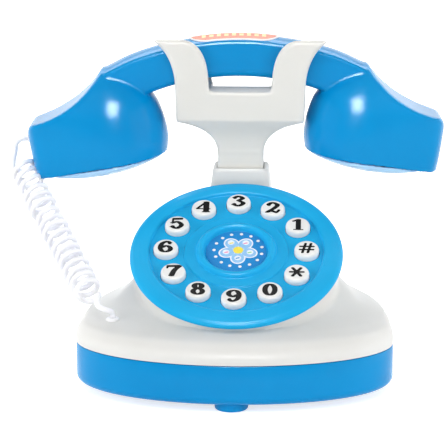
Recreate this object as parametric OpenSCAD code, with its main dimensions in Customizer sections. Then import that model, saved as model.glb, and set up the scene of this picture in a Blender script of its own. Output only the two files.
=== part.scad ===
// Toy push-button telephone: oval base, tilted round key dial, sprung cradle on a post,
// arched handset and a curly cord. X right, Y to the back, Z up. The parts are drawn about the
// widest line of the base; set_down() moves them so that the front foot stands on the origin.

/* [Base] */
// Full width of the base at its widest line
base_w = 149; // [130:1:170]
// Front edge of the base, in front of its widest line
base_front = 44; // [38:1:50]
// Back edge of the base, behind its widest line
base_back = 100; // [92:1:110]
// Height of the underside of the tray above the table
tray_z = 4; // [2:0.5:6]
// Height of the seam between the tray and the upper shell
seam_z = 23; // [20:0.5:28]
// Wall of the tray and of the upper shell
shell_t = 2.2; // [1.6:0.1:3]
// Radius of a moulded foot
foot_r = 7.8; // [5:0.1:10]

// Distance of the front foot in front of the widest line
foot_y = 33; // [28:1:36]

/* [Dial] */
// Outer radius of the dial plate
dial_r = 50.8; // [45:0.1:56]
// Dial centre, behind the widest line
dial_y = 20.8; // [15:0.1:26]
// Dial centre, height of the rim plane
dial_z = 58.9; // [52:0.1:64]
// Tilt of the dial back from the horizontal
dial_tilt = 29; // [20:1:40]
// Radius of the circle the keys stand on
key_ring_r = 33.5; // [30:0.1:38]
// Radius of a key cap
key_r = 5.9; // [4.5:0.1:7]
// Top of the key caps above the rim plane
key_top = 5.5; // [4:0.1:7]
// Radial clearance round a key
key_gap = 0.3; // [0.2:0.05:0.6]

/* [Post and cradle] */
// Centre of the post, behind the widest line
post_y = 78; // [74:0.5:82]
// Top of the post
post_z = 92; // [86:0.5:98]
// Half width of the cradle stem
stem_hw = 11.2; // [9:0.1:13]
// Half depth of the cradle stem
stem_hd = 8.3; // [6:0.1:10]
// Clearance between the stem and the post
stem_gap = 0.3; // [0.2:0.05:0.6]
// Half depth of the channel the handle lies in
chan_hd = 12.7; // [11:0.1:15]
// Thickness of the cradle's front and back plates
plate_t = 2.6; // [2:0.1:4]
// Top of the rear horns, lower than the front ones
rear_z = 148.5; // [140:0.5:156]

/* [Handset] */
// Outer radius of the arched handle
arch_r = 136; // [120:1:160]
// Top of the handle in the middle
arch_z = 157.6; // [150:0.1:165]
// Radial height of the handle
handle_h = 18; // [14:0.5:22]
// Depth of the handle
handle_d = 21.5; // [18:0.5:26]
// Distance from the middle to the centre of each head
head_x = 65.3; // [60:0.1:70]
// Height of the mouth of each head
head_z = 95.3; // [90:0.1:100]
// Tilt of each mouth
head_tilt = 9.4; // [0:0.1:15]
// Wall of the handset
hs_t = 2; // [1.5:0.1:3]
// Depth of the handset's top shell
lid_t = 2.6; // [2:0.1:4]
// Height of the cord's outlet in the handset
gland_z = 107.3; // [106:0.1:109]

/* [Cord] */
// Diameter of the cord
wire_d = 2.6; // [2:0.1:4]
// Outer diameter of the coil
coil_d = 14.3; // [10:0.1:18]

/* [Hidden] */
$fn = 64;
e = 0.05;

blue = [0.10, 0.56, 0.84];
white = [0.90, 0.90, 0.88];
steel = [0.70, 0.70, 0.72];
hw = base_w / 2;
acz = arch_z - arch_r;

// screws of the dial: their angles and ring, and the ring of the two in the key board
dial_screw_a = [15, 135, 255];
dial_screw_r = 42;
pcb_screw_r = 22;
// where the cord enters the base
gland_x = -57;
gland_y = -3;
// half width of the cradle between its plates, clear of the heads as they lift
body_hw = 30.2;

// cord route, rounded points chosen by hand
lead_pts = [[-106.2, 74.4, 105.3], [-109, 74.4, 105.2], [-111.8, 75, 103.6], [-113, 76, 100.6],
  [-112.2, 76.48, 97.2], [-110, 73.2, 94]];
coil_pts = [[-110, 73.2, 94], [-104.5, 65, 86], [-98.5, 55, 78], [-92, 44.5, 70.2],
  [-85.5, 33.5, 62.6], [-79, 22, 55.4], [-73, 10.5, 48.8], [-67.5, -1, 43.2]];
tail_pts = [[-67.5, -1, 43.2], [-65.85, -4.45, 41.52], [-62.8, -6.4, 39.8], [-59.4, -5.6, 38.4],
  [-57.4, -3.8, 37.2], [-57, -3, 36], [-57, -3, 34.2]];

function egg(a, yf, yr, yc = 0, n = 96) = [for (i = [0:n - 1]) let (t = 360 * i / n)
  [a * cos(t), sin(t) < 0 ? yc + (yc - yf) * sin(t) : yc + (yr - yc) * sin(t)]];
function bz3(a, b, c, d, n = 8) = [for (i = [0:n]) let (t = i / n)
  a * pow(1 - t, 3) + 3 * b * t * pow(1 - t, 2) + 3 * c * t * t * (1 - t) + d * pow(t, 3)];
function flip(p) = [for (i = [len(p) - 1:-1:0]) [-p[i][0], p[i][1]]];

module slab(z, h, a, yf, yr, yc = 0) {
  translate([0, 0, z])
    linear_extrude(h)
      polygon(egg(a, yf, yr, yc));
}

// tube through points, eight sides, closed at both ends
function unit(v) = v / norm(v);
function tang(p, i) = i == 0 ? unit(p[1] - p[0]) :
  i == len(p) - 1 ? unit(p[i] - p[i - 1]) : unit(unit(p[i + 1] - p[i]) + unit(p[i] - p[i - 1]));
function side_v(t) = unit(cross(t, [0.35, 0.9, -0.25]));
module tube(p, r, n = 8) {
  m = len(p);
  pts = [for (i = [0:m - 1]) let (t = tang(p, i), u = side_v(t), v = cross(t, u))
    for (k = [0:n - 1]) p[i] + r * (cos(360 * k / n) * u + sin(360 * k / n) * v)];
  walls = [for (i = [0:m - 2]) for (k = [0:n - 1]) let (a = i * n + k, b = i * n + (k + 1) % n)
    each [[a, b, a + n], [b, b + n, a + n]]];
  lid = [for (k = [1:n - 2]) [0, k + 1, k]];
  end = [for (k = [1:n - 2]) [(m - 1) * n, (m - 1) * n + k, (m - 1) * n + k + 1]];
  polyhedron(points = pts, faces = concat([for (f = walls) [f[0], f[2], f[1]]],
    [for (f = lid) [f[0], f[2], f[1]]], [for (f = end) [f[0], f[2], f[1]]]), convexity = 4);
}

module dial_frame() {
  translate([0, dial_y, dial_z])
    rotate([dial_tilt, 0, 0])
      children();
}
module on_ring(a, r) {
  rotate([0, 0, a])
    translate([r, 0, 0])
      children();
}
module screw(len = 8, r = 1.35, hr = 2.5, hh = 1.8) {
  difference() {
    union() {
      translate([0, 0, -hh / 2])
        cylinder(r = r, h = len + hh / 2);
      translate([0, 0, -hh])
        cylinder(r = hr, h = hh);
    }
    translate([-0.35, -hr * 0.7, -hh - e])
      cube([0.7, hr * 1.4, 0.7]);
    translate([-hr * 0.7, -0.35, -hh - e])
      cube([hr * 1.4, 0.7, 0.7]);
  }
}

// ---------- base ----------
base_bosses = [[-58, 12], [58, 12], [-40, 72], [40, 72]];
feet = [[0, -foot_y], [-46, 62], [46, 62]];
spk = [-37, 26];
bat = [-14, -2, 54, 35];
door_hole = [45, 15.5];

module base_tray() {
  color(blue)
    difference() {
      union() {
        difference() {
          hull() {
            slab(tray_z + 3.4, seam_z - tray_z - 3.4, hw, -base_front, base_back);
            slab(tray_z + 1, 0.1, hw - 1.1, -base_front + 1.1, base_back - 1.1);
            slab(tray_z, 0.1, hw - 3.6, -base_front + 3.6, base_back - 3.6);
          }
          slab(tray_z + 2, seam_z, hw - shell_t, -base_front + shell_t, base_back - shell_t);
        }
        for (f = feet)
          translate([f[0], f[1], 0])
            rotate_extrude()
              polygon([[0, 0], [foot_r - 1, 0], [foot_r - 0.3, 0.3], [foot_r, 1],
                [foot_r, tray_z + 0.5], [0, tray_z + 0.5]]);
        for (b = base_bosses)
          translate([b[0], b[1], tray_z + 1])
            cylinder(r = 4.2, h = seam_z - tray_z - 1);
        // battery box, open below
        translate([bat[0] - 1.5, bat[1] - 1.5, tray_z])
          cube([bat[2] + 3, bat[3] + 3, 19.4]);
        // boss and pad over the tab of the battery door
        translate([bat[0] + bat[2], 8.5, tray_z + 1.9])
          cube([10.5, 14, 1.6]);
        translate([door_hole[0], door_hole[1], tray_z + 1.9])
          cylinder(r = 3.2, h = 7);
        // speaker collar
        translate([spk[0], spk[1], tray_z + 1])
          difference() {
            cylinder(r = 19.8, h = 6);
            cylinder(r = 18.3, h = 7);
          }
        // tower under the cradle stem, with a shelf for the switch
        translate([0, post_y, tray_z + 1])
          cylinder(r = 6, h = 43 - tray_z);
        translate([0, post_y - 4, 40])
          cube([14, 8, 4]);
        // posts for the circuit board
        for (x = [-20, 20])
          translate([x, 55, tray_z + 1])
            cylinder(r = 3, h = 9);
      }
      translate([bat[0], bat[1], tray_z - 1])
        cube([bat[2], bat[3], 18.9]);
      translate([bat[0] + bat[2] - 1, 9.7, tray_z - 1])
        cube([10, 11.6, 3]);
      translate([door_hole[0], door_hole[1], tray_z - 1])
        cylinder(r = 1.2, h = 8, $fn = 24);
      for (b = base_bosses)
        translate([b[0], b[1], tray_z - 1]) {
          cylinder(r = 1.5, h = 30);
          cylinder(r = 3, h = 9);
        }
      for (x = [-20, 20])
        translate([x, 55, tray_z + 3])
          cylinder(r = 1.0, h = 20);
      for (r = [5, 10])
        for (a = [0:360 / (r * 1.2):359])
          translate([spk[0] + r * cos(a), spk[1] + r * sin(a), tray_z - 1])
            cylinder(r = 1.1, h = 5, $fn = 24);
      translate([spk[0], spk[1], tray_z - 1])
        cylinder(r = 1.1, h = 5, $fn = 24);
      translate([0, post_y, 42])
        cylinder(r = 4.4, h = 10);
    }
}

module shell_body(d) {
  i = d * 1.3;
  // low shoulder all round
  hull() {
    slab(seam_z - (d > 0 ? 1 : 0), 4 + (d > 0 ? 1 : 0) - d * 0.4, hw - d, -base_front + d, base_back - d);
    slab(30 - d, 0.1, hw - 1.2 - i, -base_front + 3.6 + i, base_back - 2 - i);
    slab(32 - d, 0.1, hw - 3 - i, -base_front + 8 + i, base_back - 4 - i);
    slab(32.7 - d, 0.1, hw - 5 - i, -base_front + 14 + i, base_back - 6 - i);
  }
  // hill that carries the post
  j = d * 1.9;
  hull() {
    slab(30.5 - d, 0.1, hw - 1.3 - j, -12 + j, base_back - 2.6 - j, 24);
    slab(34 - d, 0.1, hw - 2.4 - j, -7 + j, base_back - 3 - j, 24);
    slab(37.2 - d, 0.1, hw - 5 - j, 0 + j, base_back - 3.6 - j, 24);
    slab(68 - d, 0.1, 17 - d, 58 + d, base_back - 9 - d, 75);
  }
}

module post_outer() {
  translate([0, post_y + 10.4, 0])
    rotate([90, 0, 0])
      linear_extrude(20.8)
        polygon([[-22, 58], [22, 58], [17, 70], [15, 81], [13.6, post_z - 0.6], [13, post_z],
          [-13, post_z], [-13.6, post_z - 0.6], [-15, 81], [-17, 70]]);
}

module upper_shell() {
  color(white)
    difference() {
      union() {
        difference() {
          union() {
            shell_body(0);
            post_outer();
            intersection() {
              dial_frame()
                translate([0, 0, -40])
                  cylinder(r = dial_r - 2.4, h = 39.6, $fn = 96);
              slab(seam_z, 80, hw - 3, -base_front + 6, base_back - 3);
            }
          }
          shell_body(shell_t);
          dial_frame()
            translate([0, 0, -60])
              cylinder(r = dial_r - 4.8, h = 70, $fn = 96);
        }
        // ledge the dial is screwed to
        dial_frame()
          translate([0, 0, -12])
            difference() {
              cylinder(r = dial_r - 4.2, h = 2.2);
              translate([0, 0, -1])
                cylinder(r = 39.2, h = 5);
            }
        // screw bosses hang from the inside of the skin
        intersection() {
          for (b = base_bosses)
            translate([b[0], b[1], seam_z])
              cylinder(r = 3.6, h = 44);
          shell_body(shell_t / 2);
        }
      }
      // stem guide and the wider room below it
      translate([-stem_hw - stem_gap, post_y - stem_hd - stem_gap, 74])
        cube([2 * (stem_hw + stem_gap), 2 * (stem_hd + stem_gap), 30]);
      translate([0, post_y + 9.3, 0])
        rotate([90, 0, 0])
          linear_extrude(18.6)
            polygon([[-20, 20], [20, 20], [20, 57], [14.8, 70], [12.6, 74 + e], [-12.6, 74 + e],
              [-14.8, 70], [-20, 57]]);
      for (b = base_bosses)
        translate([b[0], b[1], seam_z - 1])
          cylinder(r = 1.15, h = 8);
      for (a = dial_screw_a)
        dial_frame()
          on_ring(a, dial_screw_r)
            translate([0, 0, -20])
              cylinder(r = 1.7, h = 20, $fn = 24);
      translate([gland_x, gland_y, 20])
        cylinder(r = 2.2, h = 20, $fn = 32);
      // room for the dial's rim where it dips to the shoulder
      dial_frame()
        translate([0, 0, -4.5])
          difference() {
            cylinder(r = dial_r + 0.5, h = 20, $fn = 96);
            translate([0, 0, -1])
              cylinder(r = dial_r - 2.4, h = 22, $fn = 96);
          }
      slab(0, seam_z, 200, -200, 200);
    }
}

module gland_base() {
  color(white)
    translate([gland_x, gland_y, 0]) {
      translate([0, 0, 32.9])
        cylinder(r = 3.4, h = 1.3);
      translate([0, 0, 28.6])
        cylinder(r = 2.1, h = 5);
    }
}

module base_screw(i) {
  color(steel)
    translate([base_bosses[i][0], base_bosses[i][1], tray_z + 8])
      screw(len = 16, r = 1.15);
}

module battery_door() {
  color(blue)
    difference() {
      union() {
        translate([bat[0] + 0.3, bat[1] + 0.3, tray_z + 0.1])
          cube([bat[2] - 0.6, bat[3] - 0.6, 1.8]);
        translate([bat[0] + bat[2] - 1, 10, tray_z + 0.1])
          cube([9.6, 11, 1.8]);
      }
      for (i = [0:4])
        translate([bat[0] + 6, bat[1] + 8 + 4 * i, tray_z])
          cube([14, 1.2, 0.7]);
      translate([door_hole[0], door_hole[1], 0]) {
        cylinder(r = 1.5, h = 10, $fn = 24);
        cylinder(r = 2.6, h = tray_z + 1.1, $fn = 32);
      }
    }
}
module door_screw() {
  color(steel)
    translate([door_hole[0], door_hole[1], tray_z + 1.1])
      screw(len = 5, r = 1.2, hr = 2.3, hh = 0.9);
}
module battery(k) {
  y = bat[1] + 9 + 17 * k;
  xc = bat[0] + 27 + (k == 0 ? 0.65 : -0.65);
  s = k == 0 ? 1 : -1;
  color([0.2, 0.2, 0.22])
    translate([xc, y, tray_z + 9.8])
      rotate([0, 90 * s, 0]) {
        translate([0, 0, -24.6])
          cylinder(r = 7.1, h = 49);
        translate([0, 0, 24])
          cylinder(r = 2.7, h = 1.2);
      }
}
module battery_contacts() {
  color(steel) {
    for (x = [bat[0] + 0.3, bat[0] + bat[2] - 0.7])
      translate([x, bat[1] + 3, tray_z + 5])
        cube([0.4, bat[3] - 6, 9]);
    translate([bat[0] + 0.6, bat[1] + 9, tray_z + 9.8])
      rotate([0, 90, 0])
        cylinder(r1 = 4, r2 = 2.4, h = 2.4, $fn = 32);
    translate([bat[0] + bat[2] - 3, bat[1] + 26, tray_z + 9.8])
      rotate([0, 90, 0])
        cylinder(r1 = 2.4, r2 = 4, h = 2.35, $fn = 32);
  }
}
module speaker() {
  color([0.25, 0.25, 0.27])
    translate([spk[0], spk[1], tray_z + 2.1]) {
      cylinder(r = 18, h = 2);
      translate([0, 0, 1.9])
        cylinder(r1 = 17, r2 = 9, h = 3);
      translate([0, 0, 4.8])
        cylinder(r = 8.5, h = 4);
    }
}
module main_pcb() {
  color([0.12, 0.35, 0.18])
    difference() {
      union() {
        translate([-26, 45, tray_z + 10])
          cube([52, 20, 1.6]);
        translate([0, 55, tray_z + 11.5])
          cylinder(r = 5, h = 1.6, $fn = 48);
        translate([-15, 49, tray_z + 11.5])
          cube([5, 8, 2]);
      }
      for (x = [-20, 20])
        translate([x, 55, tray_z])
          cylinder(r = 1.1, h = 20, $fn = 24);
    }
}

// ---------- dial ----------
module dial_plate() {
  color(blue)
    dial_frame()
      difference() {
        union() {
          rotate_extrude($fn = 128)
            polygon([[0, 1.6], [14.8, 1.6], [15.4, 2.4], [15.9, 3.8], [16.6, 4.5], [17.6, 4.8],
              [18.6, 4.5], [19.3, 3.8], [19.7, 2.9], [24.8, 2.8], [25.2, 2.2], [41.6, 2.2],
              [42, 2.6], [42.6, 2.5], [46, 2.1], [49, 1.2], [50.2, 0.4], [dial_r, -0.8],
              [dial_r, -4], [dial_r - 1.7, -4], [dial_r - 1.7, -0.6], [47, 0.2], [0, 0.2]]);
          for (a = dial_screw_a)
            on_ring(a, dial_screw_r)
              translate([0, 0, -9.7])
                cylinder(r = 3.2, h = 10.4);
          for (a = [0, 180])
            on_ring(a, pcb_screw_r)
              translate([0, 0, -5.3])
                cylinder(r = 3, h = 6);
        }
        for (i = [0:11])
          on_ring(30 * i, key_ring_r)
            translate([0, 0, -6])
              cylinder(r = key_r + key_gap, h = 12);
        for (a = dial_screw_a)
          on_ring(a, dial_screw_r)
            translate([0, 0, -12])
              cylinder(r = 1.15, h = 11.5, $fn = 24);
        for (a = [0, 180])
          on_ring(a, pcb_screw_r)
            translate([0, 0, -6])
              cylinder(r = 1.0, h = 6.5, $fn = 24);
      }
}
module dial_sticker() {
  color([0.25, 0.45, 0.85])
    dial_frame()
      translate([0, 0, 1.6])
        cylinder(r = 14.4, h = 0.3);
}
// one key: cap, retaining flange and stem
module key_at(a) {
  color(white)
    dial_frame()
      on_ring(a, key_ring_r) {
        rotate_extrude($fn = 48)
          polygon([[0, -2.2], [2.5, -2.2], [2.5, -1.1], [key_r + 0.9, -1.1], [key_r + 0.9, -0.1],
            [key_r, -0.1], [key_r, key_top - 1.3], [key_r - 0.35, key_top - 0.5],
            [key_r - 1.1, key_top - 0.1], [key_r - 2.2, key_top], [0, key_top]]);
      }
}
module key_mat() {
  color([0.85, 0.85, 0.8])
    dial_frame()
      difference() {
        union() {
          translate([0, 0, -5.3])
            cylinder(r = 38, h = 0.7);
          for (i = [0:11])
            on_ring(30 * i, key_ring_r)
              translate([0, 0, -4.7])
                cylinder(r1 = 3.6, r2 = 2.4, h = 0.8, $fn = 32);
        }
        for (a = [0, 180])
          on_ring(a, pcb_screw_r)
            translate([0, 0, -8])
              cylinder(r = 3.2, h = 8);
      }
}
module key_pcb() {
  color([0.12, 0.35, 0.18])
    dial_frame()
      difference() {
        translate([0, 0, -6.95])
          cylinder(r = 38.4, h = 1.6);
        for (a = [0, 180])
          on_ring(a, pcb_screw_r)
            translate([0, 0, -8])
              cylinder(r = 1.3, h = 8, $fn = 24);
      }
}
module pcb_screw(a) {
  color(steel)
    dial_frame()
      on_ring(a, pcb_screw_r)
        translate([0, 0, -6.95])
          screw(len = 5.6, r = 1.0, hr = 2.2, hh = 1.4);
}
module dial_screw(a) {
  color(steel)
    dial_frame()
      on_ring(a, dial_screw_r)
        translate([0, 0, -12])
          screw(len = 9, r = 1.15, hr = 2.4, hh = 1.6);
}

// ---------- cradle ----------
horn_r = concat(
  bz3([11.2, 98.5], [11.4, 108], [19, 113.6], [31.3, 115.6]),
  [[31.4, 118], [31.9, 131]],
  bz3([32.1, 136], [33, 144.5], [36.5, 151.5], [42.2, 155.4]),
  [[41.8, 156.3], [29.2, 156.3]],
  bz3([27.6, 156.2], [20, 155.4], [16.2, 147.5], [15.6, 137.2]),
  [[15.2, 132.6], [14.6, 131.4], [13.2, 131]]);
module cradle_outline() {
  polygon(concat(horn_r, flip(horn_r)));
}
side_r = concat([[stem_hd, 70]], bz3([stem_hd, 99], [8.9, 107], [12, 113], [15.3, 116.5]), [[15.3, 131.2]]);
module cradle_solid() {
  // plates
  translate([0, post_y - chan_hd, 0])
    rotate([90, 0, 0])
      linear_extrude(plate_t)
        cradle_outline();
  translate([0, post_y + chan_hd + plate_t, 0])
    rotate([90, 0, 0])
      linear_extrude(plate_t)
        intersection() {
          cradle_outline();
          translate([-50, 90])
            square([100, rear_z - 90]);
        }
  // waisted body between them
  intersection() {
    translate([0, post_y + 20, 0])
      rotate([90, 0, 0])
        linear_extrude(40)
          intersection() {
            cradle_outline();
            translate([-50, 90])
              square([100, 41.2]);
          }
    translate([-body_hw, 0, 0])
      rotate([90, 0, 90])
        linear_extrude(2 * body_hw)
          translate([post_y, 0])
            polygon(concat(side_r, flip(side_r)));
  }
  // rests the handle lies on
  translate([-30, post_y - chan_hd - e, 130])
    cube([6, 2 * chan_hd + 2 * e, rest_z(-30, -24) - 130]);
  translate([24, post_y - chan_hd - e, 130])
    cube([6, 2 * chan_hd + 2 * e, rest_z(24, 30) - 130]);
  // stem with its stop flange
  translate([-stem_hw, post_y - stem_hd, 64])
    cube([2 * stem_hw, 2 * stem_hd, 35]);
  translate([-12.2, post_y - 9, 64])
    cube([24.4, 18, 7.2]);
}
// underside of the handle over world x, less a small gap
function under(x) = let (u = x + 3.2) acz + sqrt(pow(arch_r - handle_h, 2) - u * u) + u * tan(1.1);
function rest_z(a, b) = min(under(a), under(b)) - 0.45;
module cradle_hollow() {
  translate([-27.6, post_y - chan_hd, 118.5])
    cube([55.2, 2 * chan_hd, 10]);
  translate([-8.6, post_y - 5.9, 66.2])
    cube([17.2, 11.8, 53]);
}
module cradle_front() {
  color(white)
    difference() {
      cradle_solid();
      cradle_hollow();
      translate([-60, post_y, 50])
        cube([120, 40, 120]);
    }
  for (x = [-1, 1])
    color(white)
      translate([x * 18, post_y, 123])
        rotate([90, 0, 0])
          difference() {
            cylinder(r = 3, h = chan_hd + 1);
            translate([0, 0, -1])
              cylinder(r = 1.15, h = 11, $fn = 24);
          }
}
module cradle_back() {
  color(white)
    difference() {
      union() {
        difference() {
          cradle_solid();
          cradle_hollow();
          translate([-60, post_y - 40, 50])
            cube([120, 40, 120]);
        }
        for (x = [-1, 1])
          translate([x * 18, post_y + chan_hd + 1, 123])
            rotate([90, 0, 0])
              cylinder(r = 3.6, h = chan_hd + 1);
      }
      for (x = [-1, 1])
        translate([x * 18, post_y + 40, 123])
          rotate([90, 0, 0]) {
            cylinder(r = 1.5, h = 60, $fn = 24);
            cylinder(r = 2.7, h = 37, $fn = 32);
          }
    }
}
module cradle_screw(s) {
  color(steel)
    translate([18 * s, post_y + 3, 123])
      rotate([90, 0, 0])
        screw(len = 12, r = 1.15, hr = 2.4, hh = 1.6);
}
module hook_spring() {
  color(steel)
    translate([0, post_y, 42.1])
      difference() {
        cylinder(r = 4, h = 21.6);
        translate([0, 0, -1])
          cylinder(r = 3.1, h = 30);
      }
}
module hook_switch() {
  color([0.1, 0.1, 0.1]) {
    translate([6.9, post_y - 3.5, 44])
      cube([6, 7, 12]);
    translate([9, post_y - 1, 55.9])
      cube([2, 2, 7.8]);
  }
}

// ---------- handset ----------
module hs() {
  translate([-3.2, post_y, 138])
    rotate([0, -1.1, 2])
      translate([0, 0, -138])
        children();
}
module head_frame(s) {
  mirror([s < 0 ? 1 : 0, 0, 0])
    translate([head_x, 0, head_z])
      rotate([0, head_tilt, 0])
        children();
}
// [height, x1, r1, x2, r2] of the two circles a head's section is hulled from
head_secs = [[0, -6.6, 25, 18.4, 13.2], [8, -7.4, 26, 19.4, 14], [20, -7.6, 25, 20.3, 14.2],
  [29, -7.6, 22.4, 20, 13.5], [36, -7.4, 16.5, 15, 9], [41, -6.5, 11.5, 8, 6], [45, -6, 6, 3, 4]];
module bell(d, z0 = 0) {
  hull() {
    for (q = head_secs) {
      translate([q[1], 0, max(z0, q[0] - d * q[0] / 45)])
        cylinder(r = max(1, q[2] - d), h = 0.05, $fn = 40);
      translate([q[3], 0, max(z0, q[0] - d * q[0] / 45)])
        cylinder(r = max(1, q[4] - d), h = 0.05, $fn = 40);
    }
    if (z0 < 0) {
      translate([-6.6, 0, z0])
        cylinder(r = 25 - d, h = 0.05, $fn = 40);
      translate([18.4, 0, z0])
        cylinder(r = 13.2 - d, h = 0.05, $fn = 40);
    }
  }
}
module handle_bar(r0, r1, hd, crown, ang = 28.5) {
  translate([0, 0, acz])
    rotate([90, 0, 0])
      rotate([0, 0, 90 - ang])
        rotate_extrude(angle = 2 * ang, $fn = 200)
          intersection() {
            union() {
              translate([r0 + 3, -hd])
                square([r1 - r0 - 3, 2 * hd]);
              translate([r0, -hd + 3])
                square([r1 - r0, 2 * hd - 6]);
              translate([r0 + 3, -hd + 3])
                circle(r = 3, $fn = 32);
              translate([r0 + 3, hd - 3])
                circle(r = 3, $fn = 32);
            }
            translate([r1 - crown, 0])
              circle(r = crown, $fn = 120);
          }
}
arc_r = [for (a = [0:2:26]) [arch_r * sin(a), acz + arch_r * cos(a)]];
slope_r = bz3([65.4, 140.8], [70, 129.2], [82, 118.6], [99.6, 115.3], 10);
top_r = concat(arc_r, [[63.2, 142]], slope_r, [[101.6, 114], [103, 111]]);
module side_profile(dz) {
  translate([0, -dz])
    polygon(concat(top_r, [[104, 108], [110, 60]], [[-110, 60], [-104, 108]], flip(top_r)));
}
module hs_mass(d) {
  handle_bar(arch_r - handle_h + d, arch_r - (d > 0 ? 1 : 0), handle_d / 2 - d, 24.1);
  for (s = [-1, 1])
    head_frame(s)
      bell(d, d > 0 ? -3 : 0);
}
module below_profile(dz) {
  translate([0, 60, 0])
    rotate([90, 0, 0])
      linear_extrude(120)
        side_profile(dz);
}
module gland_hole() {
  translate([-97, 0, gland_z])
    rotate([0, -90, 0])
      cylinder(r = 2.65, h = 10, $fn = 48);
}
module handset_top() {
  color(blue)
    hs()
      difference() {
        intersection() {
          hs_mass(0);
          difference() {
            below_profile(0);
            below_profile(lid_t);
          }
        }
        gland_hole();
      }
}
module handset_bottom() {
  color(blue)
    hs() {
      difference() {
        intersection() {
          hs_mass(0);
          below_profile(lid_t);
        }
        hs_mass(hs_t);
        gland_hole();
      }
      // screw boss and its bridge in each head
      for (s = [-1, 1])
        head_frame(s)
          difference() {
            union() {
              translate([0, 0, 1.2])
                cylinder(r = 3.4, h = 20);
              translate([-1.2, -24.4, 12])
                cube([2.4, 48.8, 9]);
            }
            cylinder(r = 1.15, h = 19, $fn = 24);
          }
    }
}
module cap(s) {
  color([0.62, 0.80, 0.95])
    hs()
      head_frame(s)
        difference() {
          union() {
            intersection() {
              translate([-1, 0, 72])
                sphere(r = 78.3, $fn = 160);
              translate([0, 0, -10])
                linear_extrude(10)
                  union() {
                    translate([-6.6, 0])
                      circle(r = 24.7);
                    translate([18.4, 0])
                      circle(r = 12.9);
                    polygon([[4.8, 21.9], [24.2, 11.4], [24.2, -11.4], [4.8, -21.9]]);
                  }
            }
            translate([0, 0, -2])
              cylinder(r = 4, h = 3.1);
          }
          difference() {
            translate([-1, 0, 72])
              sphere(r = 76.3, $fn = 160);
            cylinder(r = 4, h = 20, center = true);
          }
          translate([0, 0, -12])
            cylinder(r = 2.9, h = 9.4, $fn = 32);
          translate([0, 0, -12])
            cylinder(r = 1.5, h = 20, $fn = 24);
        }
}
module cap_screw(s) {
  color(steel)
    hs()
      head_frame(s)
        translate([0, 0, -2.6])
          screw(len = 14, r = 1.15, hr = 2.4, hh = 1.6);
}
module handset_label() {
  color([0.93, 0.45, 0.38])
    hs()
      intersection() {
        difference() {
          handle_bar(arch_r - 4, arch_r + 0.6, 9, 24.7, 12);
          handle_bar(arch_r - 9, arch_r, 12, 24.1, 14);
        }
        translate([0, 0, 120])
          union() {
            translate([-14.5, -7.5, 0])
              cube([29, 15, 60]);
            for (x = [-14.5, 14.5])
              translate([x, 0, 0])
                cylinder(r = 7.5, h = 60);
          }
      }
}
module gland_handset() {
  color(white)
    hs()
      translate([-100.4, 0, gland_z])
        rotate([0, -90, 0])
          cylinder(r = 2.6, h = 3.2);
}

// ---------- cord ----------
module cord_lead() {
  color(white)
    tube(lead_pts, wire_d / 2);
}
module cord_coil() {
  color(white)
    tube(coil_pts, coil_d / 2, 12);
}
module cord_tail() {
  color(white)
    tube(tail_pts, wire_d / 2);
}

// The front foot comes to the origin
module set_down() {
  translate([0, foot_y, 0])
    children();
}

set_down() base_tray();
set_down() upper_shell();
set_down() dial_plate();
set_down() dial_sticker();
set_down() key_at(300);  // key_0
set_down() key_at(30);  // key_1
set_down() key_at(60);  // key_2
set_down() key_at(90);  // key_3
set_down() key_at(120);  // key_4
set_down() key_at(150);  // key_5
set_down() key_at(180);  // key_6
set_down() key_at(210);  // key_7
set_down() key_at(240);  // key_8
set_down() key_at(270);  // key_9
set_down() key_at(330);  // key_star
set_down() key_at(0);  // key_hash
set_down() key_mat();
set_down() key_pcb();
set_down() pcb_screw(0);  // pcb_screw_1
set_down() pcb_screw(180);  // pcb_screw_2
set_down() dial_screw(dial_screw_a[0]);  // dial_screw_1
set_down() dial_screw(dial_screw_a[1]);  // dial_screw_2
set_down() dial_screw(dial_screw_a[2]);  // dial_screw_3
set_down() main_pcb();
set_down() speaker();
set_down() battery(0);  // battery_1
set_down() battery(1);  // battery_2
set_down() battery_contacts();
set_down() battery_door();
set_down() door_screw();
set_down() base_screw(0);  // base_screw_1
set_down() base_screw(1);  // base_screw_2
set_down() base_screw(2);  // base_screw_3
set_down() base_screw(3);  // base_screw_4
set_down() cradle_front();
set_down() cradle_back();
set_down() cradle_screw(-1);  // cradle_screw_1
set_down() cradle_screw(1);  // cradle_screw_2
set_down() hook_spring();
set_down() hook_switch();
set_down() handset_top();
set_down() handset_bottom();
set_down() cap(-1);  // cap_left
set_down() cap(1);  // cap_right
set_down() cap_screw(-1);  // cap_screw_left
set_down() cap_screw(1);  // cap_screw_right
set_down() handset_label();
set_down() gland_handset();
set_down() gland_base();
set_down() cord_lead();
set_down() cord_coil();
set_down() cord_tail();
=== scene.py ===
"""Toy push-button telephone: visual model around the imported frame.

X right, Y to the back, Z up, the front foot stands on the origin. Shapes are worked in millimetres
about the widest line of the base, 33 mm behind that foot; ROW sets them down in the frame.
"""

import math

import bmesh
import bpy
import numpy as np
from mathutils import Matrix, Vector


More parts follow.
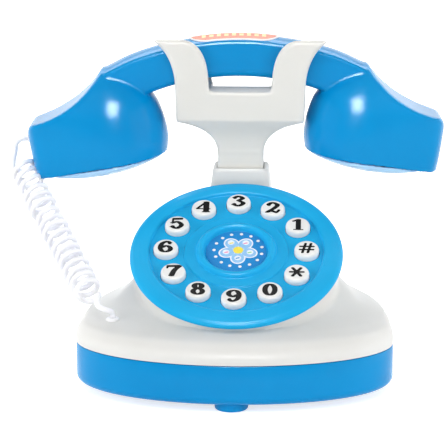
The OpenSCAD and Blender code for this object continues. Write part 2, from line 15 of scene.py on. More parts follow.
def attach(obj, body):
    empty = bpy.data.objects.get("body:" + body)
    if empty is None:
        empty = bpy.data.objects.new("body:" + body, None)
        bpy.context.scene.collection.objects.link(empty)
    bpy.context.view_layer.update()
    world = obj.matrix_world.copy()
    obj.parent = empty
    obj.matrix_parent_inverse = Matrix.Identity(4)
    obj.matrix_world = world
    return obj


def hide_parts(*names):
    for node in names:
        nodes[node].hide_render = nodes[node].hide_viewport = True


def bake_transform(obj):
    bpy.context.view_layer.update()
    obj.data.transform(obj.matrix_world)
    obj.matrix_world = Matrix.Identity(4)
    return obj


MM = 0.001
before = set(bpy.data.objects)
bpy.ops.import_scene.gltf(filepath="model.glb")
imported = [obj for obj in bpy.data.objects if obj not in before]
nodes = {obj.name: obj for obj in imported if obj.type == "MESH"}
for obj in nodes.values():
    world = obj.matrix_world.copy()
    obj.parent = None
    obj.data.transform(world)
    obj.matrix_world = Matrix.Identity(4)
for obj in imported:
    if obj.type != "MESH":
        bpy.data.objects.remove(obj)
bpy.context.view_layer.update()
scene = bpy.context.scene

# Layout in mm. Y counts from the widest line of the base; the handset's own X starts at its middle.
WIDEST_Y = 33
BASE_HALF = 74.5
BASE_FRONT = 44
BASE_BACK = 100
DIAL_Y = 20.8
DIAL_Z = 58.9
DIAL_TILT = 29
KEY_CIRCLE = 33.5
POST_Y = 78
HANDSET_Z = 138
HEAD_X = 65.3
HEAD_Z = 95.3
HEAD_TILT = 9.4
ARCH_R = 136.0
ARCH_Z = 157.6 - ARCH_R
CROWN_AT = 111.9
CROWN_R = 24.1


# -------- camera and light
def make_camera():
    """The photograph's view: from 1 m, low, a little from the right, through a long lens."""
    target = Vector((-4.92, 33.0, 79.0)) * MM
    el = math.radians(12.5)
    az = math.radians(2.65)
    away = Vector((math.sin(az) * math.cos(el), -math.cos(az) * math.cos(el), math.sin(el)))
    data = bpy.data.cameras.new("camera")
    data.lens = 172.8
    data.sensor_width = 36
    data.clip_start = 0.05
    data.clip_end = 50
    cam = bpy.data.objects.new("camera", data)
    cam.location = target + away
    cam.rotation_euler = (-away).to_track_quat("-Z", "Y").to_euler()
    scene.collection.objects.link(cam)
    scene.camera = cam


def area(name, place, size, power, look=(0, 0.05, 0.08), diffuse=True, gloss=True):
    """A soft box that looks at a point; it may light matt or glossy surfaces only."""
    data = bpy.data.lights.new(name, "AREA")
    data.shape = "RECTANGLE"
    data.size = size[0]
    data.size_y = size[1]
    data.energy = power
    lamp = bpy.data.objects.new(name, data)
    lamp.location = place
    lamp.rotation_euler = (Vector(look) - Vector(place)).to_track_quat("-Z", "Y").to_euler()
    lamp.visible_diffuse = diffuse
    lamp.visible_glossy = gloss
    scene.collection.objects.link(lamp)


def make_light():
    world = bpy.data.worlds.new("studio")
    scene.world = world
    world.use_nodes = True
    world.node_tree.nodes["Background"].inputs["Color"].default_value = (1.0, 1.0, 1.0, 1)
    world.node_tree.nodes["Background"].inputs["Strength"].default_value = 0.47
    area("back_wall", (0.0, 2.2, 0.95), (3.8, 1.9), 26)
    area("back_gloss", (0.0, 2.2, 0.95), (3.8, 1.9), 14, diffuse=False)
    area("soft_front", (0.0, -0.75, 1.15), (0.4, 0.75), 4.2)
    area("top_gloss", (0.0, 1.06, 1.39), (3.0, 0.7), 60, (0, 0.11, 0.15), diffuse=False)
    area("soft_gloss", (0.0, -0.75, 0.85), (0.42, 0.8), 74, diffuse=False)
    area("side_left", (-2.2, 1.0, 0.6), (2.4, 1.4), 24, diffuse=False)
    area("side_right", (2.2, 1.0, 0.6), (2.4, 1.4), 24, diffuse=False)
    area("fill_left", (-1.5, -0.5, 0.45), (1.5, 1.0), 16, gloss=False)
    area("fill_right", (1.5, -0.5, 0.45), (1.5, 1.0), 14, gloss=False)
    scene.view_settings.view_transform = "Standard"


def floor_material():
    """Pale matt paint, lifted to white where the camera looks straight at it."""
    mat, tree, bsdf = new_material("floor_paint", (0.8, 0.8, 0.8), 0.9)
    noise = add_noise(tree, 6.0, 2.0)
    tint_by(tree, bsdf, noise, (0.795, 0.795, 0.795), (0.805, 0.805, 0.805))
    path = tree.nodes.new("ShaderNodeLightPath")
    lift = tree.nodes.new("ShaderNodeMath")
    lift.operation = "MULTIPLY"
    lift.inputs[1].default_value = 0.7
    seen = tree.nodes.new("ShaderNodeMath")
    seen.operation = "MAXIMUM"
    tree.links.new(path.outputs["Is Camera Ray"], seen.inputs[0])
    tree.links.new(path.outputs["Is Glossy Ray"], seen.inputs[1])
    tree.links.new(seen.outputs["Value"], lift.inputs[0])
    bsdf.inputs["Emission Color"].default_value = (1, 1, 1, 1)
    tree.links.new(lift.outputs["Value"], bsdf.inputs["Emission Strength"])
    return mat


def make_floor():
    mesh = bpy.data.meshes.new("floor")
    s = 6.0
    mesh.from_pydata([(-s, -s, 0), (s, -s, 0), (s, s, 0), (-s, s, 0)], [], [(0, 1, 2, 3)])
    obj = bpy.data.objects.new("floor", mesh)
    scene.collection.objects.link(obj)
    mesh.materials.append(floor_material())


# -------- materials
def new_material(name, colour, rough):
    mat = bpy.data.materials.new(name)
    mat.use_nodes = True
    tree = mat.node_tree
    bsdf = tree.nodes["Principled BSDF"]
    bsdf.inputs["Base Color"].default_value = (*colour, 1)
    bsdf.inputs["Roughness"].default_value = rough
    return mat, tree, bsdf


def add_noise(tree, scale, detail, rough=0.5):
    where = tree.nodes.new("ShaderNodeTexCoord")
    noise = tree.nodes.new("ShaderNodeTexNoise")
    noise.inputs["Scale"].default_value = scale
    noise.inputs["Detail"].default_value = detail
    noise.inputs["Roughness"].default_value = rough
    tree.links.new(where.outputs["Object"], noise.inputs["Vector"])
    return noise


def tint_by(tree, bsdf, noise, lo, hi):
    """Base colour drifts between two colours with the noise."""
    node = tree.nodes.new("ShaderNodeValToRGB")
    node.color_ramp.elements[0].position = 0.35
    node.color_ramp.elements[1].position = 0.65
    node.color_ramp.elements[0].color = (*lo, 1)
    node.color_ramp.elements[1].color = (*hi, 1)
    tree.links.new(noise.outputs["Fac"], node.inputs["Fac"])
    tree.links.new(node.outputs["Color"], bsdf.inputs["Base Color"])


def rough_by(tree, bsdf, noise, lo, hi):
    """Roughness wanders between two values with the noise."""
    node = tree.nodes.new("ShaderNodeMapRange")
    node.inputs["From Min"].default_value = 0.3
    node.inputs["From Max"].default_value = 0.7
    node.inputs["To Min"].default_value = lo
    node.inputs["To Max"].default_value = hi
    tree.links.new(noise.outputs["Fac"], node.inputs["Value"])
    tree.links.new(node.outputs["Result"], bsdf.inputs["Roughness"])


def bump_by(tree, bsdf, noise, strength, depth):
    node = tree.nodes.new("ShaderNodeBump")
    node.inputs["Strength"].default_value = strength
    node.inputs["Distance"].default_value = depth
    tree.links.new(noise.outputs["Fac"], node.inputs["Height"])
    tree.links.new(node.outputs["Normal"], bsdf.inputs["Normal"])


def plastic(name, lo, hi, rough, spec=0.38, sss=0.0):
    """Moulded plastic: faint colour drift, uneven gloss and a fine moulded skin."""
    mat, tree, bsdf = new_material(name, lo, rough[0])
    drift = add_noise(tree, 26.0, 3.0)
    tint_by(tree, bsdf, drift, lo, hi)
    gloss = add_noise(tree, 90.0, 4.0, 0.6)
    rough_by(tree, bsdf, gloss, *rough)
    skin = add_noise(tree, 320.0, 2.0)
    bump_by(tree, bsdf, skin, 0.35, 0.00003)
    bsdf.inputs["Specular IOR Level"].default_value = spec
    if sss > 0:
        bsdf.inputs["Subsurface Weight"].default_value = sss
        bsdf.inputs["Subsurface Radius"].default_value = (0.9, 0.9, 1.0)
        bsdf.inputs["Subsurface Scale"].default_value = 0.002
    return mat


def speckled(name, lo, hi, rough, scale, detail, socket, value):
    """One fine noise sets colour and roughness; one shader socket has a value of its own."""
    mat, tree, bsdf = new_material(name, lo, rough[0])
    speck = add_noise(tree, scale, detail, 0.7)
    tint_by(tree, bsdf, speck, lo, hi)
    rough_by(tree, bsdf, speck, *rough)
    bsdf.inputs[socket].default_value = value
    return mat


def metal(name, lo, hi, rough):
    return speckled(name, lo, hi, rough, 700.0, 5.0, "Metallic", 1.0)


def printed(name, lo, hi, rough=(0.35, 0.5)):
    """Printing ink and printed foil, with hardly any gloss."""
    return speckled(name, lo, hi, rough, 1400.0, 3.0, "Specular IOR Level", 0.08)


def make_materials():
    """A plastic has a colour range, a roughness range, a specular level and subsurface light."""
    return {
        "blue": plastic("blue_gloss", (0.0, 0.245, 0.57), (0.001, 0.27, 0.61), (0.2, 0.24), 0.12),
        "dial": plastic("dial_gloss", (0.012, 0.38, 0.72), (0.018, 0.41, 0.76), (0.28, 0.33), 0.05),
        "white": plastic("white_gloss", (0.72, 0.715, 0.69), (0.75, 0.745, 0.725), (0.28, 0.31), 0.03, 0.1),
        "ivory": plastic("ivory_satin", (0.72, 0.71, 0.67), (0.745, 0.735, 0.70), (0.3, 0.36), 0.05, 0.12),
        "key": plastic("key_gloss", (0.78, 0.775, 0.76), (0.81, 0.805, 0.79), (0.18, 0.22), 0.05, 0.15),
        "pale": plastic("pale_blue", (0.36, 0.60, 0.86), (0.42, 0.66, 0.89), (0.15, 0.25), 0.1, 0.2),
        "cord": plastic("cord_pvc", (0.88, 0.88, 0.93), (0.92, 0.92, 0.96), (0.25, 0.35), 0.05, 0.5),
        "ink": printed("black_ink", (0.002, 0.002, 0.002), (0.005, 0.005, 0.005)),
        "foil": printed("sticker_blue", (0.016, 0.24, 0.60), (0.024, 0.28, 0.66), (0.3, 0.42)),
        "petal": printed("petal_blue", (0.26, 0.52, 0.82), (0.34, 0.60, 0.88)),
        "petal_edge": printed("petal_edge", (0.78, 0.84, 0.93), (0.86, 0.90, 0.96)),
        "yellow": printed("flower_yellow", (0.90, 0.72, 0.06), (0.95, 0.80, 0.12)),
        "coral": printed("label_coral", (0.86, 0.30, 0.22), (0.90, 0.36, 0.27)),
        "cream": printed("label_cream", (0.93, 0.80, 0.42), (0.95, 0.85, 0.52)),
        "paper": printed("label_white", (0.86, 0.85, 0.82), (0.90, 0.89, 0.87)),
        "pink": printed("mark_pink", (0.80, 0.22, 0.42), (0.85, 0.28, 0.48)),
        "green": printed("mark_green", (0.25, 0.62, 0.25), (0.30, 0.70, 0.32)),
        "steel": metal("steel", (0.55, 0.55, 0.57), (0.68, 0.68, 0.70), (0.25, 0.4)),
        "black": plastic("black_plastic", (0.012, 0.012, 0.014), (0.022, 0.022, 0.025), (0.4, 0.5)),
        "board": plastic("circuit_board", (0.02, 0.13, 0.04), (0.03, 0.17, 0.06), (0.35, 0.5)),
        "rubber": plastic("silicone", (0.62, 0.62, 0.56), (0.68, 0.68, 0.62), (0.5, 0.6), sss=0.2),
        "cell": plastic("battery_wrap", (0.03, 0.03, 0.035), (0.05, 0.05, 0.06), (0.3, 0.4)),
    }


# -------- distances
def rmax(a, b, r):
    """Intersection with a round edge of radius r."""
    u = np.maximum(a + r, 0)
    v = np.maximum(b + r, 0)
    return np.minimum(-r, np.maximum(a, b)) + np.sqrt(u * u + v * v)


def rmin(a, b, r):
    """Union with a round fillet of radius r."""
    return -rmax(-a, -b, r)


def box2(x, y, hx, hy, r):
    """Distance to a rectangle of half sizes hx and hy with round corners."""
    dx = np.abs(x) - hx + r
    dy = np.abs(y) - hy + r
    out = np.sqrt(np.maximum(dx, 0) ** 2 + np.maximum(dy, 0) ** 2)
    return out + np.minimum(np.maximum(dx, dy), 0) - r


def smooth_table(rows):
    """Monotone cubic through rows of (place, value, value, ...)."""
    t = np.array(rows, float)
    x = t[:, 0]
    out = []
    for k in range(1, t.shape[1]):
        y = t[:, k]
        d = np.diff(y) / np.diff(x)
        m = np.concatenate([[d[0]], (d[1:] + d[:-1]) / 2, [d[-1]]])
        flat = np.concatenate([[False], d[1:] * d[:-1] <= 0, [False]])
        m[flat] = 0
        cap = 3 * np.minimum(np.abs(np.append(d, d[-1])), np.abs(np.insert(d, 0, d[0])))
        m = np.clip(m, -cap, cap)
        out.append((x, y, m))
    return out


def read_table(col, at):
    """Value of one column at a place; past the ends it goes on straight."""
    x, y, m = col
    i = np.clip(np.searchsorted(x, at) - 1, 0, len(x) - 2)
    h = x[i + 1] - x[i]
    t = np.clip((at - x[i]) / h, 0, 1)
    a = (1 + 2 * t) * (1 - t) ** 2 * y[i] + t * (1 - t) ** 2 * h * m[i]
    b = t * t * (3 - 2 * t) * y[i + 1] + t * t * (t - 1) * h * m[i + 1]
    past = np.maximum(at - x[-1], 0) * m[-1] + np.minimum(at - x[0], 0) * m[0]
    return a + b + past


def bezier(a, b, c, d, n=24):
    t = np.linspace(0, 1, n + 1)[:, None]
    a, b, c, d = (np.array(p, float) for p in (a, b, c, d))
    return a * (1 - t) ** 3 + 3 * b * t * (1 - t) ** 2 + 3 * c * t * t * (1 - t) + d * t**3


def polygon_sd(px, py, pts):
    """Signed distance to a closed outline."""
    pts = np.asarray(pts, float)
    best = np.inf
    odd = False
    for i in range(len(pts)):
        a = pts[i - 1]
        ex, ey = pts[i] - a
        wx = px - a[0]
        wy = py - a[1]
        t = np.clip((wx * ex + wy * ey) / max(ex * ex + ey * ey, 1e-12), 0, 1)
        d = (wx - ex * t) ** 2 + (wy - ey * t) ** 2
        best = np.minimum(best, d)
        over = (a[1] > py) != (pts[i][1] > py)
        slope = ex / ey if abs(ey) > 1e-9 else 0.0
        hit = over & (px < a[0] + (py - a[1]) * slope)
        odd = odd ^ hit
    return np.where(odd, -1.0, 1.0) * np.sqrt(best)


def slopes(f, x, y, z):
    e = 0.04
    gx = (f(x + e, y, z) - f(x - e, y, z)) / (2 * e)
    gy = (f(x, y + e, z) - f(x, y - e, z)) / (2 * e)
    gz = (f(x, y, z + e) - f(x, y, z - e)) / (2 * e)
    return gx, gy, gz


def even(f):
    """The same surface with a slope near one, so fillets keep their radius."""

    def g(x, y, z):
        gx, gy, gz = slopes(f, x, y, z)
        return f(x, y, z) / np.maximum(np.sqrt(gx * gx + gy * gy + gz * gz), 0.2)

    return g


# -------- surfaces from distances
def edge_ends(a, n, trim):
    """Where the two ends of each grid edge along axis a are; trim leaves out the outermost."""
    first = [slice(1, k - 1) if trim else slice(None) for k in n]
    second = list(first)
    first[a] = slice(0, -1)
    second[a] = slice(1, None)
    return tuple(first), tuple(second)


def net_points(v, lo, h):
    """One point per grid cell that the surface passes through."""
    n = v.shape
    cells = tuple(k - 1 for k in n)
    count = np.zeros(cells)
    pos = np.zeros(cells + (3,))
    inside = v < 0
    for a in range(3):
        b = (a + 1) % 3
        c = (a + 2) % 3
        first, second = edge_ends(a, n, False)
        v0 = v[first]
        v1 = v[second]
        cross = inside[first] != inside[second]
        t = np.where(cross, v0 / np.where(cross, v0 - v1, 1), 0)
        for ob in (0, 1):
            for oc in (0, 1):
                part = [slice(None)] * 3
                part[b] = slice(ob, n[b] - 1 + ob)
                part[c] = slice(oc, n[c] - 1 + oc)
                hit = cross[tuple(part)]
                count += hit
                pos[..., a] += t[tuple(part)]
                pos[..., b] += hit * ob
                pos[..., c] += hit * oc
    live = count > 0
    index = np.full(cells, -1)
    index[live] = np.arange(live.sum())
    where = np.argwhere(live) + pos[live] / count[live][:, None]
    return np.array(lo) + h * where, index


def net_faces(v, index):
    """A quad round every grid edge that the surface crosses."""
    n = v.shape
    inside = v < 0
    quads = []
    for a in range(3):
        b = (a + 1) % 3
        c = (a + 2) % 3
        first, second = edge_ends(a, n, True)
        out = inside[first] & ~inside[second]
        back = ~inside[first] & inside[second]
        ring = []
        for ob, oc in ((0, 0), (1, 0), (1, 1), (0, 1)):
            part = [slice(None)] * 3
            part[b] = slice(ob, n[b] - 2 + ob)
            part[c] = slice(oc, n[c] - 2 + oc)
            ring.append(index[tuple(part)])
        quads.append(np.stack([r[out] for r in ring], 1))
        quads.append(np.stack([r[back] for r in ring[::-1]], 1))
    return np.concatenate(quads)


def onto(f, p, h, rounds):
    """Points pulled onto the surface."""
    for _ in range(rounds):
        x, y, z = p[:, 0], p[:, 1], p[:, 2]
        g = np.stack(slopes(f, x, y, z), 1)
        g2 = np.maximum((g * g).sum(1), 1e-4)
        step = (f(x, y, z) / g2)[:, None] * g
        size = np.sqrt((step * step).sum(1))
        step *= np.minimum(1, 0.6 * h / np.maximum(size, 1e-9))[:, None]
        p = p - step
    return p


def relax(p, quads):
    """Points moved halfway to the mean of their neighbours."""
    total = np.zeros_like(p)
    count = np.zeros(len(p))
    for k in range(4):
        a = quads[:, k]
        b = quads[:, (k + 1) % 4]
        np.add.at(total, a, p[b])
        np.add.at(count, a, 1)
        np.add.at(total, b, p[a])
        np.add.at(count, b, 1)
    return 0.5 * p + 0.5 * total / np.maximum(count, 1)[:, None]


def solid(f, lo, hi, h, smooth):
    """Closed mesh of the surface where f is zero, with cells of h mm: points and quads."""
    size = [math.ceil((hi[i] - lo[i]) / h) + 1 for i in range(3)]
    x = (lo[0] + h * np.arange(size[0]))[:, None, None]
    y = (lo[1] + h * np.arange(size[1]))[None, :, None]
    z = (lo[2] + h * np.arange(size[2]))[None, None, :]
    v = np.array(np.broadcast_to(f(x, y, z), size), float)
    p, index = net_points(v, lo, h)
    quads = net_faces(v, index)
    p = onto(f, p, h, 3)
    for _ in range(smooth):
        p = relax(p, quads)
        p = onto(f, p, h, 2)
    return p, quads


# -------- pieces
def matrix(place, tilt=(0, 0, 0)):
    """Move, then turn about X, Y and Z as OpenSCAD does."""
    rx, ry, rz = (math.radians(t) for t in tilt)
    turn = Matrix.Rotation(rz, 4, "Z") @ Matrix.Rotation(ry, 4, "Y") @ Matrix.Rotation(rx, 4, "X")
    return Matrix.Translation(Vector(place)) @ turn


IDENTITY = Matrix.Identity(4)
ROW = Matrix.Translation((0, WIDEST_Y, 0))
DIAL = ROW @ matrix((0, DIAL_Y, DIAL_Z), (DIAL_TILT, 0, 0))
HANDSET = ROW @ matrix((-3.2, POST_Y, HANDSET_Z), (0, -1.1, 2)) @ Matrix.Translation((0, 0, -HANDSET_Z))


def head(s):
    """Frame of the left (-1) or right (1) mouth cap."""
    flip = Matrix.Diagonal((s, 1, 1, 1))
    return HANDSET @ flip @ matrix((HEAD_X, 0, HEAD_Z), (0, HEAD_TILT, 0))


def mesh_of(name, pts, faces, mat, place=ROW, sharp=35):
    """An object from points in mm; edges sharper than the given angle stay crisp."""
    m = np.array(place)
    p = np.asarray(pts, float) @ m[:3, :3].T + m[:3, 3]
    mesh = bpy.data.meshes.new(name)
    mesh.from_pydata((p * MM).tolist(), [], [list(map(int, q)) for q in faces])
    mesh.validate()
    obj = bpy.data.objects.new(name, mesh)
    scene.collection.objects.link(obj)
    mesh.materials.append(mat)
    finish_mesh(obj, sharp)
    return obj


def finish_mesh(obj, sharp=35):
    """Weld, turn normals outward and shade smooth but for edges past the given angle."""
    bm = bmesh.new()
    bm.from_mesh(obj.data)
    bmesh.ops.remove_doubles(bm, verts=bm.verts, dist=1e-7)
    bmesh.ops.dissolve_degenerate(bm, edges=bm.edges, dist=1e-8)
    bmesh.ops.recalc_face_normals(bm, faces=bm.faces)
    limit = math.radians(sharp)
    for f in bm.faces:
        f.smooth = True
    for edge in bm.edges:
        edge.smooth = len(edge.link_faces) == 2 and edge.calc_face_angle(0) < limit
    bm.to_mesh(obj.data)
    bm.free()
    obj.data.update()


def lathe(profile, n):
    """A closed shape turned round Z; a profile that keeps off the axis makes a ring."""
    pts = []
    rows = []
    for r, z in profile:
        if r < 1e-6:
            rows.append([len(pts)])
            pts.append((0, 0, z))
            continue
        rows.append(list(range(len(pts), len(pts) + n)))
        for k in range(n):
            a = 2 * math.pi * k / n
            pts.append((r * math.cos(a), r * math.sin(a), z))
    bands = list(zip(rows, rows[1:]))
    if len(rows[0]) > 1 and len(rows[-1]) > 1:
        bands.append((rows[-1], rows[0]))
    faces = []
    for a, b in bands:
        for k in range(n):
            j = (k + 1) % n
            if len(a) == 1:
                faces.append((a[0], b[j], b[k]))
            elif len(b) == 1:
                faces.append((a[k], a[j], b[0]))
            else:
                faces.append((a[k], a[j], b[j], b[k]))
    return pts, faces


def loft(rings):
    """Rings of points joined in order, closed at both ends."""
    n = len(rings[0])
    pts = np.vstack(rings)
    faces = []
    for i in range(len(rings) - 1):
        for k in range(n):
            j = (k + 1) % n
            faces.append((i * n + k, i * n + j, (i + 1) * n + j, (i + 1) * n + k))
    faces.append(tuple(range(n))[::-1])
    faces.append(tuple(range((len(rings) - 1) * n, len(rings) * n)))
    return pts, faces


def rounded(points, radius=0.5, n=5):
    """A profile with its inner corners rounded."""
    pts = [np.array(p, float) for p in points]
    out = [pts[0]]
    for a, b, c in zip(pts, pts[1:], pts[2:]):
        u = a - b
        v = c - b
        lu = np.linalg.norm(u)
        lv = np.linalg.norm(v)
        r = min(radius, 0.45 * lu, 0.45 * lv)
        p = b + u / lu * r
        q = b + v / lv * r
        for t in np.linspace(0, 1, n):
            out.append(p * (1 - t) ** 2 + 2 * b * t * (1 - t) + q * t * t)
    out.append(pts[-1])
    return [tuple(p) for p in out]


def cut(obj, cutter, how="DIFFERENCE"):
    """Boolean with a second object, which goes."""
    mod = obj.modifiers.new("cut", "BOOLEAN")
    mod.operation = how
    mod.solver = "EXACT"
    mod.object = cutter
    bpy.context.view_layer.update()
    graph = bpy.context.evaluated_depsgraph_get()
    mesh = bpy.data.meshes.new_from_object(obj.evaluated_get(graph))
    obj.modifiers.clear()
    obj.data = mesh
    bpy.data.objects.remove(cutter)


def cut_flat(obj, axis, at, keep_low):
    """Cut a mesh flat where axis 0, 1 or 2 reads at, in metres; keep one side and close it."""
    place = [0, 0, 0]
    place[axis] = at
    normal = [0, 0, 0]
    normal[axis] = 1
    bm = bmesh.new()
    bm.from_mesh(obj.data)
    geom = bm.verts[:] + bm.edges[:] + bm.faces[:]
    done = bmesh.ops.bisect_plane(bm, geom=geom, plane_co=place, plane_no=normal,
                                  clear_inner=not keep_low, clear_outer=keep_low)
    rim = [g for g in done["geom_cut"] if isinstance(g, bmesh.types.BMEdge)]
    bmesh.ops.triangle_fill(bm, use_beauty=True, edges=rim)
    bm.to_mesh(obj.data)
    bm.free()
    finish_mesh(obj)


def assign(obj, body, slot, *solids):
    """The body a piece rides on and the CAD nodes it stands for; the slot argument is not used."""
    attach(obj, body)
    if solids:
        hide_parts(*solids)


def joined(parts):
    """One list of points and faces from several."""
    pts = []
    faces = []
    for p, q in parts:
        k = len(pts)
        pts.extend(p)
        faces.extend([[i + k for i in f] for f in q])
    return pts, faces


def moved(part, dx, dy):
    p, q = part
    return [(x + dx, y + dy, z) for x, y, z in p], q


def pin(r, z0, z1, n):
    return lathe([(0, z0), (r, z0), (r, z1), (0, z1)], n)


def print_plate(f, lo, hi, h, thick, wrap):
    """A thin solid whose outline is f = 0, laid on a surface by wrap(u, v, w)."""
    nu = math.ceil((hi[0] - lo[0]) / h) + 1
    nv = math.ceil((hi[1] - lo[1]) / h) + 1
    u = lo[0] + h * np.arange(nu)
    v = lo[1] + h * np.arange(nv)
    gu, gv = np.meshgrid(u, v, indexing="ij")
    mid = f(gu[:-1, :-1] + h / 2, gv[:-1, :-1] + h / 2) < 0
    idx = np.arange(nu * nv).reshape(nu, nv)
    quads = np.stack([idx[:-1, :-1][mid], idx[1:, :-1][mid], idx[1:, 1:][mid], idx[:-1, 1:][mid]], 1)
    p = np.stack([gu.ravel(), gv.ravel()], 1)
    used = np.zeros(len(p))
    np.add.at(used, quads.ravel(), 1)
    rim = (used > 0) & (used < 4)
    q = p[rim]
    for _ in range(4):
        e = h * 0.05
        val = f(q[:, 0], q[:, 1])
        gx = (f(q[:, 0] + e, q[:, 1]) - f(q[:, 0] - e, q[:, 1])) / (2 * e)
        gy = (f(q[:, 0], q[:, 1] + e) - f(q[:, 0], q[:, 1] - e)) / (2 * e)
        g2 = np.maximum(gx * gx + gy * gy, 0.05)
        step = np.stack([val * gx / g2, val * gy / g2], 1)
        size = np.maximum(np.sqrt((step * step).sum(1)), 1e-9)
        q = q - step * np.minimum(1, 0.5 * h / size)[:, None]
    p[rim] = q
    keep = np.unique(quads)
    new = np.full(len(p), -1)
    new[keep] = np.arange(len(keep))
    quads = new[quads]
    p = p[keep]
    n = len(p)
    top = [wrap(a, b, thick) for a, b in p]
    low = [wrap(a, b, 0.0) for a, b in p]
    faces = [tuple(x) for x in quads.tolist()]
    faces += [tuple(i + n for i in reversed(x)) for x in quads.tolist()]
    edge = {}
    for x in quads.tolist():
        for k in range(4):
            edge[(x[k], x[(k + 1) % 4])] = True
    for a, b in edge:
        if (b, a) not in edge:
            faces.append((b, a, a + n, b + n))
    return top + low, faces


# -------- cord
# The route of the CAD solids cord_lead, cord_coil and cord_tail, Y from the widest line.
LEAD = [(-106.2, 74.4, 105.3), (-109, 74.4, 105.2), (-111.8, 75, 103.6), (-113, 76, 100.6),
        (-112.2, 76.48, 97.2), (-110, 73.2, 94)]
COIL = [(-110, 73.2, 94), (-104.5, 65, 86), (-98.5, 55, 78), (-92, 44.5, 70.2), (-85.5, 33.5, 62.6),
        (-79, 22, 55.4), (-73, 10.5, 48.8), (-67.5, -1, 43.2)]
TAIL = [(-67.5, -1, 43.2), (-65.85, -4.45, 41.52), (-62.8, -6.4, 39.8), (-59.4, -5.6, 38.4),
        (-57.4, -3.8, 37.2), (-57, -3, 36), (-57, -3, 34.2)]
WIRE = 1.3
TURN_R = 5.85
TURNS = 18
PER_TURN = 20


def spline(points, n):
    """Smooth curve through the points, n steps to each span."""
    p = np.array(points, float)
    p = np.vstack([2 * p[0] - p[1], p, 2 * p[-1] - p[-2]])
    out = []
    for i in range(1, len(p) - 2):
        for k in range(n):
            t = k / n
            a = -0.5 * p[i - 1] + 1.5 * p[i] - 1.5 * p[i + 1] + 0.5 * p[i + 2]
            b = p[i - 1] - 2.5 * p[i] + 2 * p[i + 1] - 0.5 * p[i + 2]
            c = -0.5 * p[i - 1] + 0.5 * p[i + 1]
            out.append(a * t**3 + b * t * t + c * t + p[i])
    out.append(p[-2])
    return np.array(out)


def by_length(p, n):
    """n + 1 points at equal steps along a curve."""
    s = np.concatenate([[0], np.cumsum(np.linalg.norm(np.diff(p, axis=0), axis=1))])
    at = np.linspace(0, s[-1], n + 1)
    return np.stack([np.interp(at, s, p[:, k]) for k in range(3)], 1)


def cord_line():
    """Centreline from the handset to the base: lead, turns of the coil, tail."""
    axis = by_length(spline(COIL, 24), TURNS * PER_TURN)
    tang = np.gradient(axis, axis=0)
    tang /= np.linalg.norm(tang, axis=1)[:, None]
    ref = np.array((0.86, 0.0, 0.5))
    side = ref - tang * (tang @ ref)[:, None]
    side /= np.linalg.norm(side, axis=1)[:, None]
    other = np.cross(tang, side)
    a = 2 * np.pi * np.arange(len(axis)) / PER_TURN + 1.4
    r = TURN_R * (1 + 0.035 * np.sin(a * 0.37) + 0.03 * np.sin(a * 0.21 + 1))
    turns = axis + r[:, None] * (np.cos(a)[:, None] * side + np.sin(a)[:, None] * other)
    turns += tang * (0.7 * np.sin(a * 0.29))[:, None]
    lead = spline(LEAD[:-1], 5)
    tail = spline(TAIL[1:], 5)
    line = np.vstack([lead, turns[3:-3], tail]) + np.array(ROW.translation)
    # Where lead and tail meet the coil, and a little into it, the line is smoothed.
    i = np.arange(len(line))
    loose = (i < len(lead) + 14) | (i > len(line) - len(tail) - 14)
    loose[:3] = False
    loose[-3:] = False
    for _ in range(10):
        mid = 0.25 * line[:-2] + 0.5 * line[1:-1] + 0.25 * line[2:]
        line[1:-1] = np.where(loose[1:-1, None], mid, line[1:-1])
    return line


def tube(line, r):
    """Round tube along a line, with frames carried along so it never twists."""
    sides = 12
    tang = np.gradient(line, axis=0)
    tang /= np.linalg.norm(tang, axis=1)[:, None]
    u = np.cross(tang[0], (0.3, 0.9, -0.3))
    u /= np.linalg.norm(u)
    angles = [2 * math.pi * k / sides for k in range(sides)]
    rings = []
    for p, t in zip(line, tang):
        u = u - t * (u @ t)
        u /= np.linalg.norm(u)
        v = np.cross(t, u)
        rings.append([p + r * (math.cos(a) * u + math.sin(a) * v) for a in angles])
    return loft(rings)


def make_cord(m):
    line = cord_line()
    pts, faces = tube(line, WIRE)
    obj = mesh_of("curly_cord", pts, faces, m["cord"], IDENTITY, 60)
    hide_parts("cord_lead", "cord_coil", "cord_tail")
    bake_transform(obj)


# -------- upper shell
WALL = 2.4
SHOULDER_Z = 33.0
HILL_Z = 69
POST_Z = 92
SEAM_Z = 23.15
DRUM_R = 48.4
OPENING_R = 46.2
GROOVE_R = 50.2

# Rows: height, half width, reach in front, reach behind, and for the hill where it is widest.
SHOULDER = smooth_table([
    (20, BASE_HALF, BASE_FRONT, BASE_BACK), (26, BASE_HALF, BASE_FRONT, BASE_BACK),
    (28.4, 74.1, 42.6, 99.3), (30.2, 73.2, 40, 97.9), (31.6, 71.9, 36.6, 96.3),
    (32.5, 70.2, 32, 94.6), (33, 67, 25, 91)])
HILL = smooth_table([
    (22, 70.4, 14, 97.4, 24), (28.3, 69.8, 12.6, 97.4, 24), (30.5, 68, 12, 97.4, 24),
    (34, 63.7, 7, 97, 24), (37.2, 58.3, 0, 96.4, 24), (41.5, 52.6, -8, 95.6, 31),
    (68, 17, -58, 91, 75), (70, 15, -59.5, 89, 75)])
POST_W = smooth_table([(50, 27), (58, 22), (70, 17), (81, 15), (91.4, 13.7)])[0]


def egg_f(x, y, a, front, back, yc):
    """Below zero inside an egg plan of half width a, from -front to back."""
    b = np.where(y < yc, yc + front, back - yc)
    return (np.sqrt((x / a) ** 2 + ((y - yc) / b) ** 2 + 1e-9) - 1) * a


def shoulder_f(x, y, z):
    a, front, back = (read_table(c, z) for c in SHOULDER)
    return egg_f(x, y, a, front, back, 0.0)


def hill_f(x, y, z):
    a, front, back, yc = (read_table(c, np.minimum(z, 70)) for c in HILL)
    return egg_f(x, y, np.maximum(a, 4), front, back, yc)


